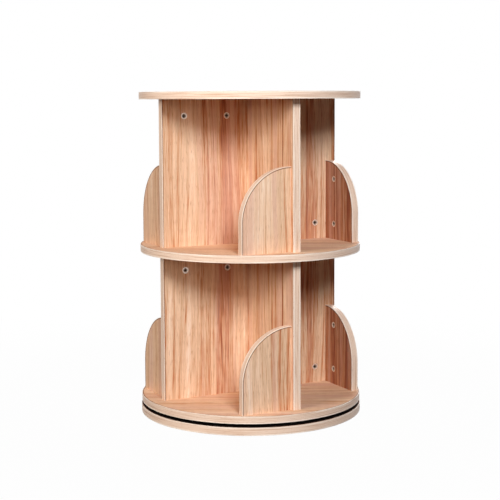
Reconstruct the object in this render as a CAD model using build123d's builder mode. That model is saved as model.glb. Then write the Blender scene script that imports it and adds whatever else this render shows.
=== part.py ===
"""Two-tier revolving bookcase, in millimetres, with +Z up.

The origin lies on the floor, on the axis that the shelves turn about. A base board stands on
pads and carries a ring bearing. Above it turn three round boards, held apart by two crosses
of uprights. Each cross has four arms: arm 0 points along +X and the rest follow at quarter
turns. Every arm ends in an upright end stop that stands on the arm's clockwise side.
"""
import os
from math import sqrt

from build123d import *

os.makedirs("parts", exist_ok=True)

# Round boards
board_diameter = 460.0
base_diameter = 462.0
board_thickness = 15.0
base_thickness = 16.0

# Edge bands, glued round every edge that shows
band_thickness = 1.0
band_rounding = 0.5
glue_line = 0.15

# Pads under the base board
pad_count = 6
pad_diameter = 30.0
pad_thickness = 2.0
pad_recess = 1.0
pad_edge_distance = 16.0
pad_clearance = 0.1

# Uprights between the round boards
tier_height = 300.0
upright_thickness = 16.0
upright_setback = 28.0

# End stops at the outer ends of the uprights
stop_height = 168.0
stop_thickness = 15.0
stop_inset = 8.0
stop_rim_margin = 3.5

# Cam locks and their bolts
cam_diameter = 13.0
cam_recess = 0.1
cam_rim = 1.8
cam_dish = 1.0
cam_slot_length = 7.6
cam_slot_width = 2.4
cam_slot_depth = 2.6
cam_clearance = 0.25
cam_backset = 34.0
cam_axis_distance = 57.0
cam_end_distance = 49.0
stop_cam_low_height = 33.0
stop_cam_high_height = 129.0
bolt_thread_diameter = 6.0
bolt_thread_depth = 9.0
bolt_neck_diameter = 4.0
bolt_head_diameter = 7.0
bolt_head_length = 2.8
bolt_bore_diameter = 8.0
head_clearance = 0.2

# Wooden dowels
dowel_diameter = 8.0
dowel_board_depth = 6.0
dowel_upright_depth = 16.0
dowel_chamfer = 0.8
dowel_end_distance = 22.0
dowel_axis_distance = 30.0
cross_dowel_depth = 15.0
cross_dowel_count = 3
cross_dowel_end_distance = 60.0

# Clearance of fixed fasteners in their holes, on the radius and at the end
hole_clearance = 0.1
hole_end_clearance = 0.4

# Ring bearing between the base board and the bottom shelf
bearing_gap = 7.0
bearing_pitch_diameter = 300.0
ring_width = 16.0
ring_running_gap = 1.0
ring_face_gap = 1.2
ball_diameter = 4.0
ball_count = 48
ball_clearance = 0.1
spacer_thickness = 1.6
spacer_height = 5.4
spacer_ball_clearance = 0.2
ring_screw_count = 6
ring_screw_diameter = 3.5
ring_screw_head_diameter = 7.0
ring_screw_grip = 8.0
ring_screw_start_angle = 15.0
screw_slot_length = 3.4
screw_slot_width = 0.8
screw_slot_depth = 1.0
access_hole_diameter = 14.0

# Heights of the stack
base_bottom = pad_thickness - pad_recess
base_top = base_bottom + base_thickness
bottom_shelf_bottom = base_top + bearing_gap
lower_floor = bottom_shelf_bottom + board_thickness
middle_shelf_bottom = lower_floor + tier_height
upper_floor = middle_shelf_bottom + board_thickness
top_board_bottom = upper_floor + tier_height
tiers = {"lower": lower_floor, "upper": upper_floor}

# Places in plan, measured from the spin axis
board_radius = board_diameter / 2
base_radius = base_diameter / 2
half_upright = upright_thickness / 2
arm_reach = board_radius - upright_setback
stop_outer_face = arm_reach - stop_inset
stop_inner_face = stop_outer_face - stop_thickness
stop_corner = sqrt((board_radius - stop_rim_margin) ** 2 - stop_outer_face**2)
stop_width = stop_corner - half_upright
cam_places = (cam_axis_distance, arm_reach - cam_end_distance)
dowel_places = (dowel_axis_distance, arm_reach - dowel_end_distance)
arms = {"right": 0, "back": 1, "left": 2, "front": 3}
up = (0, 0, 1)
down = (0, 0, -1)


def arm_vector(arm, out, side, height=0.0):
    """A vector given along an arm, towards its end stop's side, and upwards."""
    return Vector(out, -side, height).rotate(Axis.Z, 90 * arm)


def arm_location(arm, place, facing, across):
    """A location at a place of an arm, with its Z axis facing one way and its X across."""
    plane = Plane(
        origin=arm_vector(arm, *place),
        x_dir=arm_vector(arm, *across),
        z_dir=arm_vector(arm, *facing),
    )
    return plane.location


def flipped(locations):
    """The same places, facing the other way."""
    return [location * Location((0, 0, 0), (180, 0, 0)) for location in locations]


def arm_seats(arm, height, direction, places):
    """Places on one arm where fasteners leave a board's face, facing into the upright."""
    return [arm_location(arm, (out, 0, height), direction, (1, 0, 0)) for out in places]


def seats(height, direction, places):
    """The same places on all the arms."""
    return [seat for arm in arms.values() for seat in arm_seats(arm, height, direction, places)]


def stop_bolt_seats(arm, floor):
    """Places on one arm's upright where the bolts of its end stop start."""
    middle = stop_outer_face - stop_thickness / 2
    return [
        arm_location(arm, (middle, half_upright, floor + height), (0, 1, 0), (1, 0, 0))
        for height in (stop_cam_low_height, stop_cam_high_height)
    ]


def upright_cam_locations(arm, floor):
    """Cams of one arm: the low ones on the end stop's side, the high ones on the other."""
    low = floor + cam_backset
    high = floor + tier_height - cam_backset
    return [
        arm_location(arm, (out, side * half_upright, height), (0, side, 0), (1, 0, 0))
        for out in cam_places
        for side, height in ((1, low), (-1, high))
    ]


def stop_cam_locations(arm, floor):
    """Cams of one end stop, on the face that looks at the spin axis."""
    side = half_upright + cam_backset
    return [
        arm_location(arm, (stop_inner_face, side, floor + height), (-1, 0, 0), down)
        for height in (stop_cam_low_height, stop_cam_high_height)
    ]


def save(part, name):
    """Label a finished piece and write it to its file."""
    part.label = name
    export_step(part, f"parts/{name}.step")


def save_group(piece, locations, name):
    """Write one node of equal, separate pieces."""
    with BuildPart() as group:
        with Locations(*locations):
            add(piece)
    save(group.part, name)


# Fasteners, each made once at the origin with its seat on the XY plane

def make_bolt(thread_depth, double_ended=False):
    """A cam bolt that screws down into a board and holds its head up in the cam."""
    thread_radius = bolt_thread_diameter / 2
    neck_radius = bolt_neck_diameter / 2
    head_radius = bolt_head_diameter / 2
    head_start = cam_backset - bolt_head_length / 2
    head_end = cam_backset + bolt_head_length / 2
    with BuildPart() as bolt:
        with BuildSketch(Plane.XZ):
            with BuildLine():
                Polyline(
                    (0, -thread_depth),
                    (thread_radius, -thread_depth),
                    (thread_radius, 0),
                    (neck_radius, 0),
                    (neck_radius, head_start),
                    (head_radius, head_start),
                    (head_radius, head_end),
                    (0, head_end),
                    close=True,
                )
            make_face()
        revolve(axis=Axis.Z)
        if double_ended:
            mirror(about=Plane.XY.offset(-thread_depth))
    return bolt.part


def make_dowel(low_end, high_end):
    """A wooden dowel with chamfered ends, from its low end to its high end."""
    with BuildPart() as dowel:
        with BuildSketch(Plane.XY.offset(low_end)):
            Circle(dowel_diameter / 2)
        extrude(amount=high_end - low_end)
        chamfer(dowel.edges().filter_by(GeomType.CIRCLE), dowel_chamfer)
    return dowel.part


def cam_pocket_depth(bolt_depth):
    """Depth of a cam's pocket, just past the head of a bolt that lies bolt_depth down."""
    return bolt_depth + bolt_head_diameter / 2 + head_clearance


def make_cam(bolt_depth):
    """A cam with its face up and its bolt coming in along -Y, bolt_depth below the face."""
    radius = cam_diameter / 2
    length = cam_pocket_depth(bolt_depth) - hole_end_clearance - cam_recess
    face = Plane.XY.offset(-cam_recess)
    neck_room = bolt_neck_diameter / 2 + head_clearance
    head_room = bolt_head_diameter / 2 + head_clearance
    along_bolt = Location((0, 0, -bolt_depth), (90, 0, 0))
    into_mouth = Location((radius / 2, 0, -bolt_depth), (0, 90, 0))
    with BuildPart() as cam:
        with BuildSketch(face):
            Circle(radius)
        extrude(amount=-length)
        with BuildSketch(face):
            Circle(radius - cam_rim)
        extrude(amount=-cam_dish, mode=Mode.SUBTRACT)
        with BuildSketch(face):
            Rectangle(cam_slot_length, cam_slot_width)
            Rectangle(cam_slot_width, cam_slot_length)
        extrude(amount=-cam_slot_depth, mode=Mode.SUBTRACT)
        with Locations(along_bolt):
            Cylinder(head_room, bolt_head_length + 2 * head_clearance, mode=Mode.SUBTRACT)
        with Locations(into_mouth):
            Cylinder(head_room, radius, mode=Mode.SUBTRACT)
        with BuildSketch(Plane.XY.offset(-bolt_depth - neck_room)):
            Rectangle(radius, radius, align=(Align.MIN, Align.MAX))
            with Locations((0, -radius / 2)):
                Rectangle(2 * neck_room, radius)
        extrude(amount=2 * neck_room, mode=Mode.SUBTRACT)
    return cam.part


def make_ring_screw():
    """A countersunk screw, its head's top on the XY plane and its point down."""
    shank_radius = ring_screw_diameter / 2
    head_radius = ring_screw_head_diameter / 2
    head_depth = head_radius - shank_radius
    tip = ring_height + ring_screw_grip
    with BuildPart() as screw:
        with BuildSketch(Plane.XZ):
            with BuildLine():
                Polyline(
                    (0, 0),
                    (head_radius, 0),
                    (shank_radius, -head_depth),
                    (shank_radius, shank_radius - tip),
                    (0, -tip),
                    close=True,
                )
            make_face()
        revolve(axis=Axis.Z)
        with BuildSketch(Plane.XY):
            Rectangle(screw_slot_length, screw_slot_width)
            Rectangle(screw_slot_width, screw_slot_length)
        extrude(amount=-screw_slot_depth, mode=Mode.SUBTRACT)
    return screw.part


# Holes, drilled inside the block of the piece that they belong to

def drill_bolt_threads(locations, depth=bolt_thread_depth):
    """Holes in a board for the threads of cam bolts."""
    with Locations(*locations):
        Hole(bolt_thread_diameter / 2 + hole_clearance, depth + hole_end_clearance)


def drill_bolt_bores(locations):
    """Wide holes from an edge to the cams, for the necks and heads of cam bolts."""
    with Locations(*flipped(locations)):
        Hole(bolt_bore_diameter / 2, cam_backset)


def drill_dowel_holes(locations, depth):
    """Blind holes for dowels, with room at the end."""
    with Locations(*locations):
        Hole(dowel_diameter / 2 + hole_clearance, depth + hole_end_clearance)


def drill_cam_pockets(locations, bolt_depth):
    """Flat-bottomed pockets that the cams turn in."""
    with Locations(*locations):
        Hole(cam_diameter / 2 + cam_clearance, cam_pocket_depth(bolt_depth))


# Round boards and their edge bands

def make_disc_band(radius, bottom, thickness):
    """A thin ring round a board, with its two outer edges rounded."""
    middle = (radius - band_thickness / 2, bottom + thickness / 2)
    with BuildPart() as band:
        with BuildSketch(Plane.XZ) as section:
            with Locations(middle):
                Rectangle(band_thickness, thickness)
            fillet(section.vertices().group_by(Axis.X)[-1], band_rounding)
        revolve(axis=Axis.Z)
    return band.part


def disc_core(radius):
    """Radius of a round board inside its edge band."""
    return radius - band_thickness - glue_line


for name, radius, bottom, thickness in (
    ("base_board", base_radius, base_bottom, base_thickness),
    ("bottom_shelf", board_radius, bottom_shelf_bottom, board_thickness),
    ("middle_shelf", board_radius, middle_shelf_bottom, board_thickness),
    ("top_board", board_radius, top_board_bottom, board_thickness),
):
    save(make_disc_band(radius, bottom, thickness), f"{name}_band")


# Ring bearing

ring_height = bearing_gap - ring_running_gap
pitch_radius = bearing_pitch_diameter / 2
ball_height = base_top + bearing_gap / 2
outer_ring_bore = pitch_radius + ring_face_gap
inner_ring_edge = pitch_radius - ring_face_gap
outer_screw_radius = outer_ring_bore + ring_width / 2
inner_screw_radius = inner_ring_edge - ring_width / 2
screw_hole_radius = ring_screw_diameter / 2 + hole_clearance
screw_sink_radius = ring_screw_head_diameter / 2 + hole_clearance


def screw_locations(radius, height, facing):
    """Places of the screws of one bearing ring, at their heads' tops."""
    step = 360 / ring_screw_count
    return [
        Plane(
            origin=Vector(radius, 0, height).rotate(Axis.Z, ring_screw_start_angle + step * index),
            z_dir=facing,
        ).location
        for index in range(ring_screw_count)
    ]


outer_screws = screw_locations(outer_screw_radius, base_top + ring_height, up)
inner_screws = screw_locations(inner_screw_radius, bottom_shelf_bottom - ring_height, down)


def make_bearing_ring(inner_radius, bottom, screws):
    """A flat ring with a ball groove in the face at the pitch circle."""
    with BuildPart() as ring:
        with BuildSketch(Plane.XZ):
            with Locations((inner_radius, bottom)):
                Rectangle(ring_width, ring_height, align=(Align.MIN, Align.MIN))
            with Locations((pitch_radius, ball_height)):
                Circle(ball_diameter / 2 + ball_clearance, mode=Mode.SUBTRACT)
        revolve(axis=Axis.Z)
        with Locations(*screws):
            CounterSinkHole(
                screw_hole_radius, screw_sink_radius, depth=ring_height, counter_sink_angle=90
            )
    return ring.part


save(make_bearing_ring(outer_ring_bore, base_top, outer_screws), "bearing_outer_ring")
save(
    make_bearing_ring(
        inner_ring_edge - ring_width, bottom_shelf_bottom - ring_height, inner_screws
    ),
    "bearing_inner_ring",
)
ring_screw = make_ring_screw()
save_group(ring_screw, outer_screws, "outer_ring_screws")
save_group(ring_screw, inner_screws, "inner_ring_screws")

with BuildPart() as bearing_balls:
    with Locations((0, 0, ball_height)):
        with PolarLocations(pitch_radius, ball_count):
            Sphere(ball_diameter / 2)
save(bearing_balls.part, "bearing_balls")

with BuildPart() as ball_spacer:
    with BuildSketch(Plane.XY.offset(ball_height - spacer_height / 2)):
        Circle(pitch_radius + spacer_thickness / 2)
        Circle(pitch_radius - spacer_thickness / 2, mode=Mode.SUBTRACT)
    extrude(amount=spacer_height)
    with Locations((0, 0, ball_height)):
        with PolarLocations(pitch_radius, ball_count):
            Cylinder(
                ball_diameter / 2 + spacer_ball_clearance,
                ball_diameter,
                rotation=(0, 90, 0),
                mode=Mode.SUBTRACT,
            )
save(ball_spacer.part, "bearing_ball_spacer")


# Base board and its pads

pad_radius = pad_diameter / 2
pad_circle = base_radius - pad_edge_distance - pad_radius
screw_board_depth = ring_screw_grip + hole_end_clearance

with BuildPart() as base_board:
    with BuildSketch(Plane.XY.offset(base_bottom)):
        Circle(disc_core(base_radius))
        with PolarLocations(inner_screw_radius, 1, start_angle=ring_screw_start_angle):
            Circle(access_hole_diameter / 2, mode=Mode.SUBTRACT)
    extrude(amount=base_thickness)
    with BuildSketch(Plane.XY.offset(base_bottom)):
        with PolarLocations(pad_circle, pad_count):
            Circle(pad_radius + pad_clearance)
    extrude(amount=pad_recess, mode=Mode.SUBTRACT)
    with Locations(*screw_locations(outer_screw_radius, base_top, up)):
        Hole(screw_hole_radius, screw_board_depth)
save(base_board.part, "base_board")

with BuildPart() as foot_pads:
    with BuildSketch(Plane.XY):
        with PolarLocations(pad_circle, pad_count):
            Circle(pad_radius)
    extrude(amount=pad_thickness)
save(foot_pads.part, "foot_pads")


# Shelves and top board

bottom_seats = seats(lower_floor, up, cam_places)
middle_seats = seats(upper_floor, up, cam_places)
top_seats = seats(top_board_bottom, down, cam_places)
lower_dowel_seats = seats(lower_floor, up, dowel_places)
middle_under_dowel_seats = seats(middle_shelf_bottom, down, dowel_places)
middle_dowel_seats = seats(upper_floor, up, dowel_places)
top_dowel_seats = seats(top_board_bottom, down, dowel_places)
dowel_seats = {
    "lower": lower_dowel_seats + middle_under_dowel_seats,
    "upper": middle_dowel_seats + top_dowel_seats,
}

with BuildPart() as bottom_shelf:
    with BuildSketch(Plane.XY.offset(bottom_shelf_bottom)):
        Circle(disc_core(board_radius))
    extrude(amount=board_thickness)
    drill_bolt_threads(bottom_seats)
    drill_dowel_holes(lower_dowel_seats, dowel_board_depth)
    with Locations(*screw_locations(inner_screw_radius, bottom_shelf_bottom, down)):
        Hole(screw_hole_radius, screw_board_depth)
save(bottom_shelf.part, "bottom_shelf")

with BuildPart() as middle_shelf:
    with BuildSketch(Plane.XY.offset(middle_shelf_bottom)):
        Circle(disc_core(board_radius))
    extrude(amount=board_thickness)
    drill_bolt_threads(middle_seats, board_thickness)
    drill_dowel_holes(middle_under_dowel_seats, dowel_board_depth)
    drill_dowel_holes(middle_dowel_seats, dowel_board_depth)
save(middle_shelf.part, "middle_shelf")

with BuildPart() as top_board:
    with BuildSketch(Plane.XY.offset(top_board_bottom)):
        Circle(disc_core(board_radius))
    extrude(amount=board_thickness)
    drill_bolt_threads(top_seats)
    drill_dowel_holes(top_dowel_seats, dowel_board_depth)
save(top_board.part, "top_board")

board_bolt = make_bolt(bolt_thread_depth)
save_group(board_bolt, bottom_seats, "bottom_shelf_cam_bolts")
save_group(make_bolt(board_thickness / 2, double_ended=True), middle_seats, "middle_shelf_cam_bolts")
save_group(board_bolt, top_seats, "top_board_cam_bolts")


# Uprights of each tier: one long divider through the middle and a short one on each side

def cross_dowel_locations(floor):
    """Places of the dowels that pin the short dividers through the long one."""
    first = floor + cross_dowel_end_distance
    spacing = (tier_height - 2 * cross_dowel_end_distance) / (cross_dowel_count - 1)
    return [
        Plane(origin=(0, 0, first + step * spacing), x_dir=(0, 1, 0), z_dir=(1, 0, 0)).location
        for step in range(cross_dowel_count)
    ]


def make_upright(tier, ends, inner_end):
    """An upright whose core runs from inner_end to the end bands of the given arms."""
    floor = tiers[tier]
    core_reach = arm_reach - band_thickness
    with BuildPart() as upright:
        with BuildSketch(Plane.XY.offset(floor)):
            with Locations(*[Location(Plane.XY.rotated((0, 0, 90 * arm))) for arm in ends]):
                with Locations(((inner_end + core_reach) / 2, 0)):
                    Rectangle(core_reach - inner_end, upright_thickness)
        extrude(amount=tier_height)
        for arm in ends:
            for height, direction in ((floor, up), (floor + tier_height, down)):
                drill_bolt_bores(arm_seats(arm, height, direction, cam_places))
                dowels = arm_seats(arm, height, direction, dowel_places)
                drill_dowel_holes(flipped(dowels), dowel_upright_depth)
            drill_cam_pockets(upright_cam_locations(arm, floor), half_upright)
            drill_bolt_threads(stop_bolt_seats(arm, floor))
        with Locations(*cross_dowel_locations(floor)):
            Cylinder(
                dowel_diameter / 2 + hole_clearance,
                upright_thickness + 2 * (cross_dowel_depth + hole_end_clearance),
                mode=Mode.SUBTRACT,
            )
    return upright.part


def make_upright_band(arm, floor):
    """The band on an upright's outer end, with its two outer edges rounded."""
    with BuildPart() as band:
        with BuildSketch(Plane.XY.offset(floor)) as section:
            with Locations((arm_reach - band_thickness / 2, 0)):
                Rectangle(band_thickness, upright_thickness)
            fillet(section.vertices().group_by(Axis.X)[-1], band_rounding)
        extrude(amount=tier_height)
    return band.part.rotate(Axis.Z, 90 * arm)


def stop_sketch_plane(floor):
    """Plane of arm 0's end stop: X towards the rim, Y up, facing outwards."""
    return Plane(
        origin=(stop_inner_face, -half_upright, floor), x_dir=(0, -1, 0), z_dir=(-1, 0, 0)
    )


def stop_outline(width, height):
    """Outline of an end stop: upright at the rim and a quarter circle over to the upright."""
    straight = height - width
    with BuildLine() as outline:
        Polyline((0, height), (0, 0), (width, 0), (width, straight))
        CenterArc((0, straight), width, 0, 90)
    make_face(outline.line)


def make_stop(arm, floor):
    """The board of one end stop, inside its edge band."""
    core_trim = band_thickness + glue_line
    with BuildPart() as stop:
        with BuildSketch(stop_sketch_plane(floor)):
            stop_outline(stop_width - core_trim, stop_height - core_trim)
        extrude(amount=-stop_thickness)
        drill_cam_pockets(stop_cam_locations(0, floor), stop_thickness / 2)
        drill_bolt_bores(stop_bolt_seats(0, floor))
    return stop.part.rotate(Axis.Z, 90 * arm)


def make_stop_band(arm, floor):
    """The band over an end stop's rim edge and its quarter circle."""
    with BuildPart() as band:
        with BuildSketch(stop_sketch_plane(floor)):
            stop_outline(stop_width, stop_height)
        extrude(amount=-stop_thickness)
        with BuildSketch(stop_sketch_plane(floor)):
            stop_outline(stop_width - band_thickness, stop_height - band_thickness)
        extrude(amount=-stop_thickness, mode=Mode.SUBTRACT)
        rim_faces = band.faces().filter_by(GeomType.CYLINDER).sort_by(SortBy.AREA)[-1:]
        rim_faces += band.faces().filter_by(Axis.Y).sort_by(Axis.Y)[:1]
        side_edges = [
            edge
            for face in rim_faces
            for edge in face.edges()
            if edge.bounding_box().size.X < band_rounding
        ]
        fillet(side_edges, band_rounding)
    return band.part.rotate(Axis.Z, 90 * arm)


for tier, floor in tiers.items():
    long_arms = (arms["back"], arms["front"])
    save(make_upright(tier, long_arms, 0), f"{tier}_long_divider")
    for name in ("left", "right"):
        save(make_upright(tier, (arms[name],), half_upright), f"{tier}_{name}_divider")
    for name, arm in arms.items():
        save(make_upright_band(arm, floor), f"{tier}_{name}_divider_band")
        save(make_stop(arm, floor), f"{tier}_{name}_end_stop")
        save(make_stop_band(arm, floor), f"{tier}_{name}_end_stop_band")


# Cams, stop bolts and dowels of each tier

upright_cam = make_cam(half_upright)
stop_cam = make_cam(stop_thickness / 2)
joint_dowel = make_dowel(-dowel_board_depth, dowel_upright_depth)
cross_end = half_upright + cross_dowel_depth
cross_dowel = make_dowel(-cross_end, cross_end)

for tier, floor in tiers.items():
    upright_cams = []
    stop_cams = []
    stop_bolts = []
    for arm in arms.values():
        upright_cams += upright_cam_locations(arm, floor)
        stop_cams += stop_cam_locations(arm, floor)
        stop_bolts += stop_bolt_seats(arm, floor)
    save_group(upright_cam, upright_cams, f"{tier}_divider_cams")
    save_group(stop_cam, stop_cams, f"{tier}_end_stop_cams")
    save_group(board_bolt, stop_bolts, f"{tier}_end_stop_cam_bolts")
    save_group(joint_dowel, dowel_seats[tier], f"{tier}_dowels")
    save_group(cross_dowel, cross_dowel_locations(floor), f"{tier}_cross_dowels")
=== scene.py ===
"""Dresses a round two-tier revolving bookcase in laminate, edge bands, zinc, steel and rubber.

The construction comes from the frame. This script adds what a surface shows up close: the wood
print on each board, cut from its own place on the sheet, the layered edge bands, the cast and
plated fittings and the turned bearing, and then sets up the studio and the camera.
"""

import logging
import math
from dataclasses import dataclass, field, replace
from enum import Enum
from typing import Any, Optional

import bmesh
import bpy
from mathutils import Matrix, Vector


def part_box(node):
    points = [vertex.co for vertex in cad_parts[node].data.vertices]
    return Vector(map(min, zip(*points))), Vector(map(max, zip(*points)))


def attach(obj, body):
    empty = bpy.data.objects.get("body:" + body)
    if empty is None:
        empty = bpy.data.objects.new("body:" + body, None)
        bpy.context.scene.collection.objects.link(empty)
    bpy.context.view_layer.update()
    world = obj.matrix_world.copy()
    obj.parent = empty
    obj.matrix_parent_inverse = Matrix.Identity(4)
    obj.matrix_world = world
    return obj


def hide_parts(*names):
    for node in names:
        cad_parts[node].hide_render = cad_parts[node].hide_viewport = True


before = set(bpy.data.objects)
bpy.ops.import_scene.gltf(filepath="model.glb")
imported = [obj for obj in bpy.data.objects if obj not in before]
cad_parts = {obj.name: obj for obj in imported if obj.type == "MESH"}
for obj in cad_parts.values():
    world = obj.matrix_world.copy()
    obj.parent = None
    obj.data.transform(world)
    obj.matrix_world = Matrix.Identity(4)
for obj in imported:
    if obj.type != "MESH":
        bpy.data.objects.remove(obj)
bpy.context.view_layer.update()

MM = 0.001
LOG = logging.getLogger("bookcase")
WHITE = "#FFFFFF"

# Input numbers of a Mix node that mixes colours
MIX_FACTOR, MIX_A, MIX_B = 0, 6, 7
# Setting of a Map Range node that eases in and out
SMOOTH = {"interpolation_type": "SMOOTHSTEP"}

Inputs = dict[Any, Any]
Material = bpy.types.Material
Node = bpy.types.Node
Socket = bpy.types.NodeSocket
Tree = bpy.types.NodeTree


def linear(hex_code: str) -> tuple[float, float, float, float]:
    """Turn an sRGB hex colour to linear light.

    Args:
        hex_code: The colour as #RRGGBB.

    Returns:
        Linear red, green and blue, and an alpha of 1.
    """
    parts = [int(hex_code[start:start + 2], 16) / 255 for start in (1, 3, 5)]
    light = [part / 12.92 if part <= 0.04045 else ((part + 0.055) / 1.055) ** 2.4 for part in parts]
    return (light[0], light[1], light[2], 1.0)


def output_of(node: Node) -> Socket:
    """First output of a node that is in use."""
    return next(output for output in node.outputs if output.enabled)


def add_node(tree: Tree, kind: str, inputs: Optional[Inputs] = None, **settings: Any) -> Node:
    """Add one shader node with its settings and links.

    Args:
        tree: Node tree that takes the node.
        kind: Type of the node, without the ShaderNode that each type starts with.
        inputs: Value of each input, by name or number. A node or an output is linked, and a
            hex colour is turned to linear light.
        settings: Properties of the node.

    Returns:
        The new node.
    """
    node = tree.nodes.new("ShaderNode" + kind)
    for name, value in settings.items():
        setattr(node, name, value)
    for key, value in (inputs or {}).items():
        if isinstance(value, Node):
            value = output_of(value)
        if isinstance(value, str):
            value = linear(value)
        if isinstance(value, Socket):
            tree.links.new(value, node.inputs[key])
        else:
            node.inputs[key].default_value = value
    return node


def cleared_tree(owner: Any) -> Tree:
    """Start a node tree with nothing in it yet.

    Args:
        owner: The material or the world that has it.

    Returns:
        The node tree.
    """
    owner.use_nodes = True
    owner.node_tree.nodes.clear()
    return owner.node_tree


class Surface:
    """A material on the usual surface shader, dressed step by step.

    Attributes:
        material: The material.
        tree: Its node tree.
        shader: Its surface shader.
    """

    def __init__(self, name: str, **shader_values: Any) -> None:
        """Start the material.

        Args:
            name: Name of the material.
            shader_values: Constants of the shader, with _ for a space in an input's name.
        """
        self.material = bpy.data.materials.new(name)
        self.tree = cleared_tree(self.material)
        constants = {key.replace("_", " "): value for key, value in shader_values.items()}
        self.shader = add_node(self.tree, "BsdfPrincipled", constants)
        add_node(self.tree, "OutputMaterial", {"Surface": self.shader})

    def drive(self, name: str, source: Node) -> None:
        """Let a node vary one input of the shader over the surface."""
        self.tree.links.new(output_of(source), self.shader.inputs[name])

    def emboss(self, height: Node, strength: float, depth: float) -> None:
        """Give the surface a relief.

        Args:
            height: Height, from 0 to 1.
            strength: How much of the relief shows.
            depth: Depth of the relief in millimetres.
        """
        inputs = {"Height": height, "Strength": strength, "Distance": depth * MM}
        self.drive("Normal", add_node(self.tree, "Bump", inputs))


def place_in_mm(tree: Tree, turn: float = 0.0) -> Node:
    """Place on the bookcase in millimetres, along axes turned about the upright one.

    Args:
        tree: Where the nodes go.
        turn: Angle of the turned X axis, in degrees.

    Returns:
        The node that holds the place.
    """
    spot = add_node(tree, "TexCoord").outputs["Object"]
    turn_back = (0.0, 0.0, -math.radians(turn))
    inputs = {"Vector": spot, "Rotation": turn_back, "Scale": (1 / MM,) * 3}
    return add_node(tree, "Mapping", inputs)


def drawn_out_blots(
    tree: Tree, place: Node, lengths: tuple[float, ...], detail: float = 2.0
) -> Node:
    """Random blots, drawn out along the axes of a place given in millimetres.

    Args:
        tree: Where the nodes go.
        place: Place in millimetres.
        lengths: Length of one blot along each axis, in millimetres.
        detail: How much finer noise rides on it.

    Returns:
        The node that holds the noise, about 0.5 on average.
    """
    scale = tuple(1 / length for length in lengths)
    stretched = add_node(tree, "Mapping", {"Vector": place, "Scale": scale})
    return add_node(tree, "TexNoise", {"Vector": stretched, "Scale": 1.0, "Detail": detail})


def lay_over(
    tree: Tree, below: Any, above: Any, guide: Any, start: float, end: float, share: float = 1.0
) -> Node:
    """Lay a colour over another one where a guiding value calls for it.

    Args:
        tree: Where the nodes go.
        below: Lower colour, as a hex code or a node.
        above: Upper colour, as a hex code or a node.
        guide: The guiding value.
        start: Guiding value at which the upper colour starts to show.
        end: Guiding value from which it shows most.
        share: How much it covers there.

    Returns:
        The node that holds the mixed colour.
    """
    reach = {"Value": guide, "From Min": start, "From Max": end, "To Max": share}
    amount = add_node(tree, "MapRange", reach, **SMOOTH)
    inputs = {MIX_FACTOR: amount, MIX_A: below, MIX_B: above}
    return add_node(tree, "Mix", inputs, data_type="RGBA")


def weighted_sum(tree: Tree, start: Any, *parts: tuple[Any, float]) -> Any:
    """Add weighted parts to a start value.

    Args:
        tree: Where the nodes go.
        start: Value or output to start from.
        parts: Each part with its weight.

    Returns:
        The total.
    """
    total = start
    for part, weight in parts:
        total = add_node(tree, "Math", {0: part, 1: weight, 2: total}, operation="MULTIPLY_ADD")
    return total


def distance_from(tree: Tree, middle: float, value: Any) -> Node:
    """Distance of a value from a middle, the same on either side of it."""
    off = add_node(tree, "Math", {0: value, 1: middle}, operation="SUBTRACT")
    return add_node(tree, "Math", {0: off}, operation="ABSOLUTE")


class Grain(Enum):
    """How the wood print lies on a board, as the axes across, through and along it."""

    UPRIGHT = (0, 1, 2)
    LYING = (1, 2, 0)


@dataclass(frozen=True)
class Streak:
    """One broad streak of the print.

    Attributes:
        place: Place of its middle across the sheet, in millimetres.
        width: Width in millimetres.
        lighter: How much lighter than the wood beside it, negative for darker.
        rosier: How much rosier.
    """

    place: float
    width: float
    lighter: float = -0.2
    rosier: float = 0.0


@dataclass(frozen=True)
class SheetCut:
    """Where a board was sawn from the printed sheet, in millimetres and degrees.

    Attributes:
        grain: Direction of the print.
        turn: Angle from the X axis of a standing board's face, or of a lying board's grain.
        heart: Place across the board of the tree's heart line in the print.
        depth: Distance of the heart behind the face. More gives straighter grain.
        slope: Change of that depth along the grain, which draws out arches.
        figure: How much darker the ring lines are.
        tone: Average tone of the print there, from 0 for brown to 1 for nearly white.
        streaks: Broad streaks that this stretch of the sheet has.
        painted_shade_top: Colour painted over the upper face of a lying board, as painted shade
            that stands in for the shade of the turning gap above the base.
        seed: Picks another stretch of the sheet.
    """

    grain: Grain = Grain.UPRIGHT
    turn: float = 0.0
    heart: float = 0.0
    depth: float = 90.0
    slope: float = 0.02
    figure: float = 0.1
    tone: float = 0.55
    streaks: tuple[Streak, ...] = ()
    painted_shade_top: Optional[str] = None
    seed: float = 0.0


@dataclass(frozen=True)
class BandedEdge:
    """The edge of a board that carries a band, as the points at one distance from a centre.

    Attributes:
        across: Place of the centre across the board, in millimetres.
        along: Place of the centre along it.
        radius: Distance of the edge from the centre.
        round_below: How far the edge stays round below the centre, before it runs straight.
    """

    across: float
    along: float
    radius: float
    round_below: float = 0.0


@dataclass(frozen=True)
class PrintNoise:
    """Random variation of the wood print, drawn out along the grain.

    Attributes:
        width: Width of one blot in millimetres.
        length: Length of one blot in millimetres.
        detail: How much finer noise rides on it.
        weight: How much it changes what it is added to.
    """

    width: float
    length: float
    detail: float = 2.0
    weight: float = 1.0

    def draw(self, tree: Tree, sheet: Node) -> Node:
        """Draw the noise on the sheet, about 0.5 on average."""
        return drawn_out_blots(tree, sheet, (self.width, self.length, 1.0), self.detail)


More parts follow.
